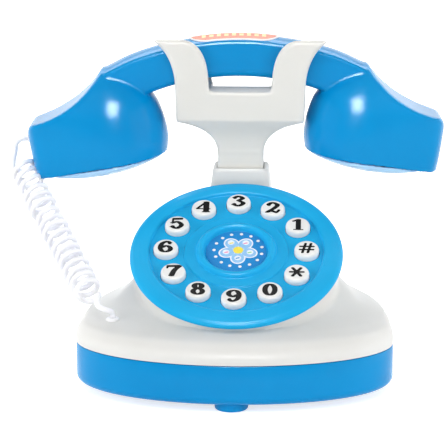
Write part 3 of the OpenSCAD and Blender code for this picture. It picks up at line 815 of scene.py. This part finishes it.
def post_f(x, y, z):
    half = read_table(POST_W, z)
    return rmax(box2(x, y - POST_Y, half, 10.9, 2.2), z - POST_Z, 1.2)


def in_dial(x, y, z):
    """Row frame to dial frame: across, up the face, off the face."""
    c = math.cos(math.radians(DIAL_TILT))
    s = math.sin(math.radians(DIAL_TILT))
    dy = y - DIAL_Y
    dz = z - DIAL_Z
    return x, dy * c + dz * s, -dy * s + dz * c


def drum_f(x, y, z):
    u, v, w = in_dial(x, y, z)
    side = np.sqrt(u * u + v * v) - DRUM_R
    return rmax(rmax(side, w + 0.4, 0.6), -40 - w, 1.0)


def shell_parts(x, y, z):
    """Shoulder, hill, post and drum; hill and drum stay inside the outline of the base."""
    low = rmax(even(shoulder_f)(x, y, z), z - SHOULDER_Z, 1.5)
    plan = even(shoulder_f)(x, y, np.minimum(z, 27))
    hill = rmax(even(hill_f)(x, y, z), z - HILL_Z, 1.5)
    hill = rmax(hill, plan + 0.8, 3.0)
    drum = rmax(drum_f(x, y, z), plan + 3, 1.0)
    return low, hill, post_f(x, y, z), drum


def shell_f(x, y, z):
    """The parts blended and hollowed, with the dial's opening and groove and the stem's shaft."""
    low, hill, post, drum = shell_parts(x, y, z)
    out = rmin(rmin(rmin(low, hill, 7.0), post, 3.0), drum, 2.2)
    inner = np.minimum(np.minimum(low, hill), drum) + WALL
    f = rmax(out, -inner, 0.5)
    u, v, w = in_dial(x, y, z)
    bore = rmax(np.sqrt(u * u + v * v) - OPENING_R, -w - 34, 1.0)
    f = rmax(f, -bore, 0.4)
    relief = rmax(np.abs(np.sqrt(u * u + v * v) - GROOVE_R) - 1.6, -1.6 - w, 0.4)
    f = rmax(f, -relief, 0.4)
    well = rmax(box2(x, y - POST_Y, 12.6, 9.2, 0.5), np.abs(z - 69) - 7, 0.5)
    mouth = rmax(box2(x, y - POST_Y, 11.55, 8.65, 0.5), 73 - z, 0.5)
    return rmax(rmax(f, -well, 0.4), -mouth, 0.3)


def make_shell(m):
    p, q = solid(shell_f, (-78, -48, 19), (78, 104, 95), 1.25, 2)
    obj = mesh_of("upper_shell_visual", p, q, m["white"])
    cut_flat(obj, 2, SEAM_Z * MM, False)
    assign(obj, "base", "white_plastic", "upper_shell")


# -------- tray
def egg_ring(a, front, back, z):
    n = 192
    t = 2 * np.pi * np.arange(n) / n
    y = np.where(np.sin(t) < 0, front * np.sin(t), back * np.sin(t))
    return np.stack([a * np.cos(t), y, np.full(n, z)], 1)


def tray_rings():
    """Rings up the outside and down the inside, each given by its inset and height."""
    rings = []
    edge = 3.6
    for k in range(9):
        t = math.pi / 2 * k / 8
        rings.append((edge * (1 - math.sin(t)), 4 + edge * (1 - math.cos(t))))
    rings += [(0, 12), (0, 22.4), (0.12, 22.65), (0.4, 22.75), (2.2, 22.75), (2.2, 8), (3.2, 6)]
    return [egg_ring(BASE_HALF - d, BASE_FRONT - d, BASE_BACK - d, z) for d, z in rings]


FEET = [(0, -33), (-46, 62), (46, 62)]
BOSSES = [(-58, 12), (58, 12), (-40, 72), (40, 72)]
SPEAKER = (-37, 26)
BAYS = [((-14, -2, 3), (40, 33, 8)), ((39, 9.7, 3), (49, 21.3, 8))]


def tray_holes():
    """Screw holes and the speaker's rings of holes, through the floor."""
    parts = [moved(pin(3.0, 3, 8, 40), x, y) for x, y in BOSSES]
    grille = pin(1.1, 3, 8, 20)
    for r, count in ((5, 6), (10, 12)):
        for k in range(count):
            a = 2 * math.pi * k / count
            parts.append(moved(grille, SPEAKER[0] + r * math.cos(a), SPEAKER[1] + r * math.sin(a)))
    parts.append(moved(grille, *SPEAKER))
    return joined(parts)


def block(lo, hi):
    x0, y0, z0 = lo
    x1, y1, z1 = hi
    pts = [(x0, y0, z0), (x1, y0, z0), (x1, y1, z0), (x0, y1, z0),
           (x0, y0, z1), (x1, y0, z1), (x1, y1, z1), (x0, y1, z1)]
    faces = [(3, 2, 1, 0), (4, 5, 6, 7), (0, 1, 5, 4), (1, 2, 6, 5), (2, 3, 7, 6), (3, 0, 4, 7)]
    return pts, faces


def make_tray(m):
    p, q = loft(tray_rings())
    obj = mesh_of("base_tray_visual", p, q, m["blue"])
    foot = [(0, 0), (6.8, 0), (7.5, 0.25), (7.8, 1.0), (7.8, 4.6), (0, 4.6)]
    for x, y in FEET:
        stub = mesh_of("stub", *moved(lathe(rounded(foot, 0.5), 64), x, y), m["blue"])
        cut(obj, stub, "UNION")
    holes = mesh_of("holes", *tray_holes(), m["blue"])
    cut(obj, holes)
    for lo, hi in BAYS:
        cut(obj, mesh_of("bay", *block(lo, hi), m["blue"]))
    finish_mesh(obj, 30)
    assign(obj, "base", "blue_plastic", "base_tray")


# -------- dial
def on_circle(degrees):
    """A key's place on the dial."""
    a = math.radians(degrees)
    return KEY_CIRCLE * math.cos(a), KEY_CIRCLE * math.sin(a)


def make_dial(m):
    """Sticker well, raised ring, key ring and rim, turned as one; then twelve holes."""
    face = [(0, 2.5), (14.9, 2.5), (15.1, 2.9), (15.3, 3.8), (15.9, 4.8), (17.0, 5.3), (18.3, 5.0),
            (19.1, 4.0), (19.3, 3.2), (20.4, 3.0), (24.6, 3.0), (24.9, 2.4), (41.3, 2.4), (41.6, 3.7),
            (42.5, 4.1), (46, 3.9), (49, 3.3), (50.3, 2.4), (50.8, 1.5), (50.8, 0.7), (50.5, 0.4),
            (49.1, 0.3), (48.2, 0.2), (0, 0.2)]
    p, q = lathe(rounded(face, 0.45, 5), 192)
    obj = mesh_of("dial_plate_visual", p, q, m["dial"], IDENTITY)
    pins = [moved(pin(6.2, -3, 6, 64), *on_circle(30 * i)) for i in range(12)]
    cutter = mesh_of("holes", *joined(pins), m["dial"], IDENTITY)
    cut(obj, cutter)
    for v in obj.data.vertices:
        v.co = (DIAL @ (v.co / MM)) * MM
    finish_mesh(obj, 30)
    weigh(obj)
    assign(obj, "base", "blue_plastic", "dial_plate")


def weigh(obj):
    """Large flat faces keep flat shading beside rounded edges."""
    mod = obj.modifiers.new("weigh", "WEIGHTED_NORMAL")
    mod.keep_sharp = True
    mod.weight = 80


def key_part(a):
    top = [(0, -2.2), (2.5, -2.2), (2.5, -1.1), (6.8, -1.1), (6.8, -0.1), (5.9, -0.1), (5.9, 4.1),
           (5.6, 4.95), (5.1, 5.4), (4.4, 5.5), (0, 5.5)]
    return moved(lathe(rounded(top, 0.5, 4), 72), *on_circle(a))


# Degrees round the dial, from its right-hand side.
KEYS = {"0": 300, "1": 30, "2": 60, "3": 90, "4": 120, "5": 150, "6": 180, "7": 210, "8": 240, "9": 270,
        "star": 330, "hash": 0}


def stroke(pts, wide=0.66, thin=0.3):
    """Pen stroke with a broad nib: wide uprights, thin cross strokes, all a little bold."""
    line = np.asarray(pts, float)

    def f(u, v):
        best = np.inf
        for a, b in zip(line, line[1:]):
            ax, ay = a[0] / wide, a[1] / thin
            ex, ey = b[0] / wide - ax, b[1] / thin - ay
            wx = u / wide - ax
            wy = v / thin - ay
            t = np.clip((wx * ex + wy * ey) / max(ex * ex + ey * ey, 1e-9), 0, 1)
            d = np.sqrt((wx - ex * t) ** 2 + (wy - ey * t) ** 2) - 1
            best = np.minimum(best, d)
        return best * thin - 0.1

    return f


def arc_pts(points, n=7):
    p = np.array([(a, b, 0) for a, b in points], float)
    return spline(p, n)[:, :2]


def ring_pts(cx, cy, rx, ry, n=30):
    t = np.linspace(0, 2 * np.pi, n + 1)
    return np.stack([cx + rx * np.cos(t), cy + ry * np.sin(t)], 1)


def dot(cx, cy, r):
    return lambda u, v: np.sqrt((u - cx) ** 2 + (v - cy) ** 2) - r


def bar(cx, cy, hx, hy):
    return lambda u, v: box2(u - cx, v - cy, hx, hy, 0.1)


# The 6; turned half round it is the 9.
SIX = [(1.35, 2.35), (0.3, 3.1), (-1.3, 1.9), (-1.9, -0.6), (-1.2, -2.6), (0.1, -3.1), (1.5, -2.2),
       (1.6, -0.6), (0.2, 0.5), (-1.3, -0.5)]


# Each key's figure as strokes, bars and dots, about 6 mm high before it is scaled.
GLYPHS = {
    "0": [stroke(ring_pts(0, 0, 1.7, 3.05), 0.7, 0.3)],
    "1": [stroke([(0.2, -3), (0.2, 3)], 0.7, 0.3), stroke([(0.1, 3), (-1.5, 2.1)], 0.4, 0.3),
        bar(0.2, -3.1, 1.8, 0.24)],
    "2": [stroke(arc_pts([(-1.6, 1.9), (-0.2, 3.05), (1.6, 1.7), (0.5, -0.4), (-1.9, -2.9)])),
        stroke(arc_pts([(-1.9, -2.7), (-0.4, -2.2), (1.3, -2.9), (2.2, -1.7)]), 0.4, 0.5),
        dot(-1.45, 1.65, 0.72)],
    "3": [stroke(arc_pts([(-1.5, 2.2), (-0.1, 3.05), (1.4, 1.8), (0, 0.45)])),
        stroke(arc_pts([(0, 0.35), (1.7, -1.3), (0, -3.05), (-1.7, -2.1)])),
        dot(-1.35, 2.0, 0.66), dot(-1.5, -1.95, 0.72)],
    "4": [stroke([(0.8, 3.1), (-2.3, -1.1)], 0.35, 0.25), bar(-0.1, -1.2, 2.5, 0.28),
        stroke([(0.9, 3), (0.9, -3)], 0.8, 0.3), bar(0.9, -3.1, 1.5, 0.24)],
    "5": [stroke([(-1.4, 2.7), (1.6, 2.9)], 0.4, 0.5), stroke([(-1.5, 2.8), (-1.6, 0.2)], 0.28, 0.3),
        stroke(arc_pts([(-1.6, 0.3), (0.1, 1.0), (1.6, -1.0), (0, -3.05), (-1.7, -2.1)])),
        dot(-1.45, -1.95, 0.72)],
    "6": [stroke(arc_pts(SIX)), dot(1.3, 2.0, 0.66)],
    "7": [stroke([(-1.9, 2.6), (2.0, 2.8)], 0.4, 0.5), stroke([(-2.0, 2.8), (-2.1, 1.6)], 0.28, 0.3),
        stroke(arc_pts([(2.0, 2.7), (0.4, 0.2), (-0.5, -3.0)]), 0.75, 0.3)],
    "8": [stroke(ring_pts(0, 1.65, 1.25, 1.4), 0.75, 0.28),
        stroke(ring_pts(0, -1.45, 1.6, 1.6), 0.7, 0.3)],
    "9": [stroke([(-a, -b) for a, b in arc_pts(SIX)]), dot(-1.3, -2.0, 0.66)],
    "star": [stroke([(-2.2, 0), (2.2, 0)], 0.45, 0.36), stroke([(-1.4, 2.3), (1.4, -2.3)], 0.45, 0.36),
        stroke([(1.4, 2.3), (-1.4, -2.3)], 0.45, 0.36)],
    "hash": [stroke([(-1.5, -2.7), (-0.4, 2.7)], 0.36, 0.3), stroke([(0.4, -2.7), (1.5, 2.7)], 0.36, 0.3),
        stroke([(-2.3, 0.95), (2.4, 0.95)], 0.3, 0.3), stroke([(-2.4, -0.95), (2.3, -0.95)], 0.3, 0.3)],
}


def any_of(parts):
    return lambda u, v: np.minimum.reduce([p(u, v) for p in parts])


def make_keys(m):
    for name, a in KEYS.items():
        cx, cy = on_circle(a)
        p, q = key_part(a)
        key = mesh_of("key_cap_" + name, p, q, m["key"], DIAL, 40)
        f = any_of(GLYPHS[name])
        ink = print_plate(f, (-3.3, -3.7), (3.3, 3.7), 0.14, 0.08,
                          lambda u, v, w: (cx + 1.36 * u, cy + 1.17 * v, 5.46 + w))
        mark = mesh_of("figure_" + name, *ink, m["ink"], DIAL, 60)
        assign(key, "press_" + name, "key_plastic", "key_" + name)
        assign(mark, "press_" + name, "black_plastic")


PETALS = [math.radians(-90 + 72 * k) for k in range(5)]


def petal_f(a, grow):
    """A long round petal that points away from the flower's heart."""
    cx = 5.4 * math.cos(a)
    cy = 5.4 * math.sin(a)

    def f(u, v):
        x = (u - cx) * math.cos(a) + (v - cy) * math.sin(a)
        y = -(u - cx) * math.sin(a) + (v - cy) * math.cos(a)
        return (np.sqrt((x / 3.6) ** 2 + (y / 3.1) ** 2) - 1) * 3.1 - grow

    return f


def sticker_layer(name, f, z, mat, reach, h=0.3, thick=0.05):
    """One printed colour, or the petals' painted highlight; the print sits a little off the disc's middle.
    """
    part = print_plate(f, (-reach, -reach), (reach, reach), h, thick,
                       lambda u, v, w: (u + 0.9, v + 0.8, z + w))
    assign(mesh_of(name, *part, mat, DIAL, 60), "base", "sticker")


def make_sticker(m):
    disc = [(0, 2.6), (14.4, 2.6), (14.4, 2.86), (14.3, 2.9), (0, 2.9)]
    base = mesh_of("sticker_disc", *lathe(disc, 96), m["foil"], DIAL)
    assign(base, "base", "sticker", "dial_sticker")
    edge = any_of([petal_f(a, 0.55) for a in PETALS])
    sticker_layer("flower_edge", edge, 2.88, m["petal_edge"], 9.5)
    fill = any_of([petal_f(a, -0.1) for a in PETALS])
    sticker_layer("flower_petals", fill, 2.92, m["petal"], 9.5, 0.22)
    # Painted highlight: a pale dot on each petal, every one set a little upward, in the pale colour of the
    # printed petal edge.
    painted_highlight = any_of([dot(6.0 * math.cos(a), 6.0 * math.sin(a) + 0.5, 1.6) for a in PETALS])
    sticker_layer("petal_painted_highlight", painted_highlight, 2.955, m["petal_edge"], 9.5, 0.25, 0.03)
    sticker_layer("flower_heart", dot(0, 0, 2.4), 2.96, m["yellow"], 3, 0.22)
    dots = any_of([dot(11.5 * math.cos(a), 11.5 * math.sin(a), 0.8)
                   for a in (2 * math.pi * (k + 0.5) / 15 for k in range(15))])
    sticker_layer("sticker_dots", dots, 2.88, m["paper"], 12.5, 0.22)
    for k, mat in enumerate(("foil", "green", "pink", "yellow", "pink")):
        cx = 5.8 * math.cos(PETALS[k])
        cy = 5.8 * math.sin(PETALS[k])
        tick = stroke([(cx - 0.7, cy), (cx + 0.6, cy + 0.4)], 0.25, 0.25)
        sticker_layer("petal_mark_%d" % k, tick, 2.975, m[mat], 9, 0.15, 0.03)


# -------- cradle
PLATE_HALF = 15.3
CHANNEL_HALF = 12.7
BLOCK_HALF = 30.2


def horn_outline():
    """Right half of the front view: neck, flare, horn and the notch beside it."""
    pts = [bezier((11.2, 98.5), (11.4, 108), (19, 113.6), (31.3, 115.6)),
           np.array([(31.5, 118), (31.9, 131)]),
           bezier((32.1, 136), (33, 144.5), (36.5, 151.5), (42.2, 155.4)),
           np.array([(41.8, 156.3), (29.2, 156.3)]),
           bezier((27.6, 156.2), (20, 155.4), (16.2, 147.5), (15.6, 137.2)),
           np.array([(15.2, 132.6), (14.6, 131.4), (13.2, 131)])]
    half = np.vstack(pts)
    return np.vstack([half, [(-4, 131)], [(-4, 98.5)]])


OUTLINE = horn_outline()
# Half depth of the neck and block at each height.
SIDE = smooth_table([
    (60, 8.3), (98, 8.3), (103, 8.6), (108, 9.7), (112, 11.8), (115, 14.0), (117, 15.2),
    (120, 15.3), (140, 15.3)])[0]


def cradle_f(x, y, z):
    """Two horned plates, the block between them, the stem and its flange."""
    x = np.abs(x)
    y = y - POST_Y
    out = polygon_sd(x, z, OUTLINE)
    plates = rmax(out, np.abs(y) - PLATE_HALF, 2.2)
    wide = (np.abs(y) - read_table(SIDE, z)) * 0.85
    body = rmax(rmax(out, wide, 1.4), z - 131.1, 0.3)
    body = rmax(body, np.minimum(x - BLOCK_HALF, CHANNEL_HALF - np.abs(y)), 0.4)
    # The handle lies in the channel, and the heads pass outside the block.
    channel = rmax(np.abs(y) - CHANNEL_HALF, np.minimum(130.9 - z, BLOCK_HALF - x), 0.4)
    plates = rmax(plates, -channel, 0.5)
    plates = rmax(plates, 116.5 - z, 0.3)
    plates = rmax(plates, np.minimum(z - 148.5, y), 0.6)
    stem = rmax(box2(x, y, 11.2, 8.3, 1.2), np.abs(z - 82) - 19, 0.6)
    flange = rmax(box2(x, y, 12.2, 9.0, 0.8), np.abs(z - 67.6) - 3.6, 0.6)
    f = rmin(np.minimum(body, plates), stem, 0.6)
    f = np.minimum(f, flange)
    f = rmax(f, -rmax(rmax(x - 14.6, 4.6 - y, 0.3), 127.8 - z, 0.3), 0.4)
    # Two ribs carry the underside of the handle.
    under = np.hypot(x, z - ARCH_Z) - 115.8
    rest = rmax(rmax(np.abs(x - 27) - 3, np.abs(y) - 13.2, 0.3), np.maximum(under, 129 - z), 0.3)
    return np.minimum(f, rest)


def make_cradle(m):
    p, q = solid(cradle_f, (-45, 60, 62), (45, 96, 159), 0.85, 2)
    for name, front, y in (("cradle_front", True, 77.95), ("cradle_back", False, 78.05)):
        obj = mesh_of(name + "_visual", p, q, m["ivory"])
        cut_flat(obj, 1, (y + WIDEST_Y) * MM, front)
        assign(obj, "hook", "white_plastic", name)


# -------- handset
# Rows: height in the head's own frame, then X and radius of the inner and of the outer circle.
HEAD = smooth_table([
    (-6, -6.4, 24.2, 19.5, 17.2), (0, -6.6, 25, 20.2, 17.8), (8, -7.4, 26, 20.6, 18.6),
    (20, -7.6, 25, 20.2, 18.8), (29, -7.4, 22.5, 19.5, 18.2), (36, -6.6, 17.6, 14, 16.2),
    (41, -5.2, 12.8, 7, 13.6), (45, -4, 8, 2, 10), (49, -2, 3, 2, 5)])
TIP = 35.0


def capsule2(x, y, x1, r1, x2, r2):
    """Hull of two circles on the X axis."""
    d = np.maximum(x2 - x1, 0.1)
    b = np.clip((r1 - r2) / d, -0.98, 0.98)
    a = np.sqrt(1 - b * b)
    px = np.abs(y)
    py = x - x1
    k = -b * px + a * py
    near = np.sqrt(px * px + py * py) - r1
    far = np.sqrt(px * px + (py - d) ** 2) - r2
    side = px * a + py * b - r1
    return np.where(k < 0, near, np.where(k > a * d, far, side))


def in_head(x, z):
    """Handset frame to the head's own frame."""
    c = math.cos(math.radians(HEAD_TILT))
    s = math.sin(math.radians(HEAD_TILT))
    dx = x - HEAD_X
    dz = z - HEAD_Z
    return dx * c - dz * s, dx * s + dz * c


def sag(hx):
    """The heads hang a little lower toward their outer ends."""
    return 0.04 * np.maximum(hx - 2, 0)


def bell_f(x, y, z):
    hx, hz = in_head(x, z)
    x1, r1, x2, r2 = (read_table(c, hz) for c in HEAD)
    return capsule2(hx, y, x1, r1, x2, r2)


def shoulder_lift(x):
    """The handle's top runs a little above a true arc toward the heads."""
    return 0.9 * np.clip((np.abs(x) - 25) / 25, 0, 1)


def handle_f(x, y, z):
    """A bent bar with a crowned top, as far as the heads."""
    rho = np.sqrt(x * x + (z - ARCH_Z) ** 2)
    bent = box2(rho - 127.65, y, 11.35, 10.75, 3.0)
    crown = np.hypot(rho - CROWN_AT, y) - CROWN_R - shoulder_lift(x)
    a = math.radians(28.5)
    end = x * math.cos(a) - (z - ARCH_Z) * math.sin(a)
    return rmax(rmax(bent, crown, 0.8), end, 0.5)


def top_line():
    """Top of the handset in the front view: arch, corner, hollow slope, outer end."""
    xs = np.linspace(0, 60, 121)
    arch = np.stack([xs, ARCH_Z + np.sqrt(ARCH_R**2 - xs**2)], 1)
    arch[:, 1] += 0.6 * np.clip((62 - xs) / 8, 0, 1) + shoulder_lift(xs)
    slope = bezier((65.6, 142.2), (71, 131.8), (83, 120.6), (99.6, 116.2), 80)
    line = np.vstack([arch, [(63, 143.2)], slope, [(101.4, 115.2), (103, 112.4), (106, 106), (112, 90)]])
    x = np.arange(0, 112, 0.25)
    z = np.interp(x, line[:, 0], line[:, 1])
    kernel = np.ones(9) / 9
    padded = np.concatenate([np.full(4, z[0]), z, np.full(4, z[-1])])
    return x, np.convolve(padded, kernel, "valid")


TOP_X, TOP_Z = top_line()
TOP_D = np.gradient(TOP_Z, TOP_X)


def top_f(x, z):
    t = np.interp(x, TOP_X, TOP_Z)
    d = np.interp(x, TOP_X, TOP_D)
    return (z - t) / np.sqrt(1 + d * d)


def handset_f(x, y, z):
    x = np.abs(x)
    bell = even(bell_f)(x, y, z)
    hx, hz = in_head(x, z)
    bell = rmax(bell, hx - TIP, 5.0)
    bell = rmax(bell, -hz - sag(hx), 0.4)
    f = rmin(bell, handle_f(x, y, z), 0.7)
    return rmax(f, top_f(x, z), 1.3)


def make_handset(m):
    p, q = solid(handset_f, (-108, -28, 84), (108, 28, 160), 1.1, 3)
    obj = mesh_of("handset_visual", p, q, m["blue"], HANDSET)
    assign(obj, "receiver", "blue_plastic", "handset_top", "handset_bottom")


def cap_f(x, y, z):
    """A thin dome with a screw seat in the middle and a sound slot, in the head's frame."""
    z = z + sag(x)
    out = rmax(capsule2(x, y, -6.6, 24.6, 20.2, 17.4), x - TIP + 0.4, 4.8)
    reach = np.sqrt((x + 1) ** 2 + y * y + (z - 72) ** 2)
    dome = reach - 78.3
    inner = 75.6 - reach
    f = rmax(rmax(out, dome, 1.2), z + 0.05, 0.3)
    f = rmax(f, inner, 0.4)
    seat = rmax(np.sqrt(x * x + y * y) - 4.2, z - 0.4, 0.3)
    f = np.minimum(f, seat)
    f = rmax(f, dome, 0.4)
    well = rmax(np.sqrt(x * x + y * y) - 2.9, z + 2.6, 0.3)
    f = rmax(f, -well, 0.3)
    slot = rmax(box2(x, y + 21.5, 1.7, 3.5, 0.3), np.abs(z + 3.4) - 0.6, 0.2)
    return rmax(f, -slot, 0.2)


def make_caps(m):
    p, q = solid(cap_f, (-33, -27, -8), (37, 27, 3), 0.8, 2)
    for name, s in (("cap_left", -1), ("cap_right", 1)):
        obj = mesh_of(name + "_visual", p, q, m["pale"], head(s))
        assign(obj, "receiver", "pale_blue_plastic", name)


def on_crown(u, v, w):
    """Point on the top of the handle: u along it, v across it, w above it."""
    rho = CROWN_AT + math.sqrt((CROWN_R + w) ** 2 - v * v)
    a = u / ARCH_R
    return rho * math.sin(a), v, ARCH_Z + rho * math.cos(a)


def stadium(hx, r):
    return lambda u, v: np.sqrt(np.maximum(np.abs(u) - hx, 0) ** 2 + v * v) - r


def label_layer(name, f, base, thick, mat, h, *solids):
    part = print_plate(f, (-23, -9.4), (23, 9.4), h, thick, lambda u, v, w: on_crown(u, v, base + w))
    assign(mesh_of(name, *part, mat, HANDSET, 60), "receiver", "label", *solids)


def make_label(m):
    """A generic label: rows of bars where the toy has a word."""
    label_layer("label_edge", stadium(13.0, 9.0), 0.0, 0.42, m["paper"], 0.4, "handset_label")
    label_layer("label_field", stadium(13.0, 8.1), 0.40, 0.06, m["coral"], 0.35)
    marks = []
    for k in range(9):
        u = (k - 4) * 3.7
        if k % 2 == 0:
            marks.append(bar(u, 0, 1.0, 5.2))
        else:
            marks += [bar(u, v, 1.1, 1.9) for v in (-3.3, 3.3)]
    label_layer("label_marks", any_of(marks), 0.44, 0.06, m["cream"], 0.3)


# -------- small parts
def gland(name, profile, mat, place, body):
    obj = mesh_of(name + "_visual", *lathe(rounded(profile, 0.3), 48), mat, place)
    assign(obj, body, "cord_plastic", name)


def make_glands(m):
    """Sleeves where the cord enters the handset and the base."""
    ring = [(1.35, 0), (2.6, 0), (2.6, 1.0), (2.2, 2.0), (1.75, 3.2), (1.35, 3.2)]
    spot = HANDSET @ matrix((-100.4, 0, 107.3), (0, -90, 0))
    gland("gland_handset", ring, m["cord"], spot, "receiver")
    foot = [(1.35, 0), (2.1, 0), (2.1, 4.3), (3.4, 4.3), (3.4, 4.9), (2.6, 5.6), (1.35, 5.6)]
    gland("gland_base", foot, m["cord"], ROW @ matrix((-57, -3, 28.6)), "base")


KEEP = {"steel": ("pcb_screw", "dial_screw", "door_screw", "base_screw", "cradle_screw", "cap_screw",
                  "hook_spring", "battery_contacts"),
        "black": ("hook_switch", "speaker"),
        "board": ("main_pcb", "key_pcb"),
        "cell": ("battery_1", "battery_2"),
        "rubber": ("key_mat",),
        "blue": ("battery_door",)}


def dress_cad(m):
    """Carried-over CAD nodes get their finished material."""
    for mat, starts in KEEP.items():
        for name, obj in nodes.items():
            if name.startswith(starts):
                obj.data.materials.clear()
                obj.data.materials.append(m[mat])


def main():
    m = make_materials()
    make_camera()
    make_light()
    make_floor()
    for make in (make_cord, make_shell, make_tray, make_dial, make_keys, make_sticker, make_cradle,
                 make_handset, make_caps, make_label, make_glands, dress_cad):
        make(m)


main()
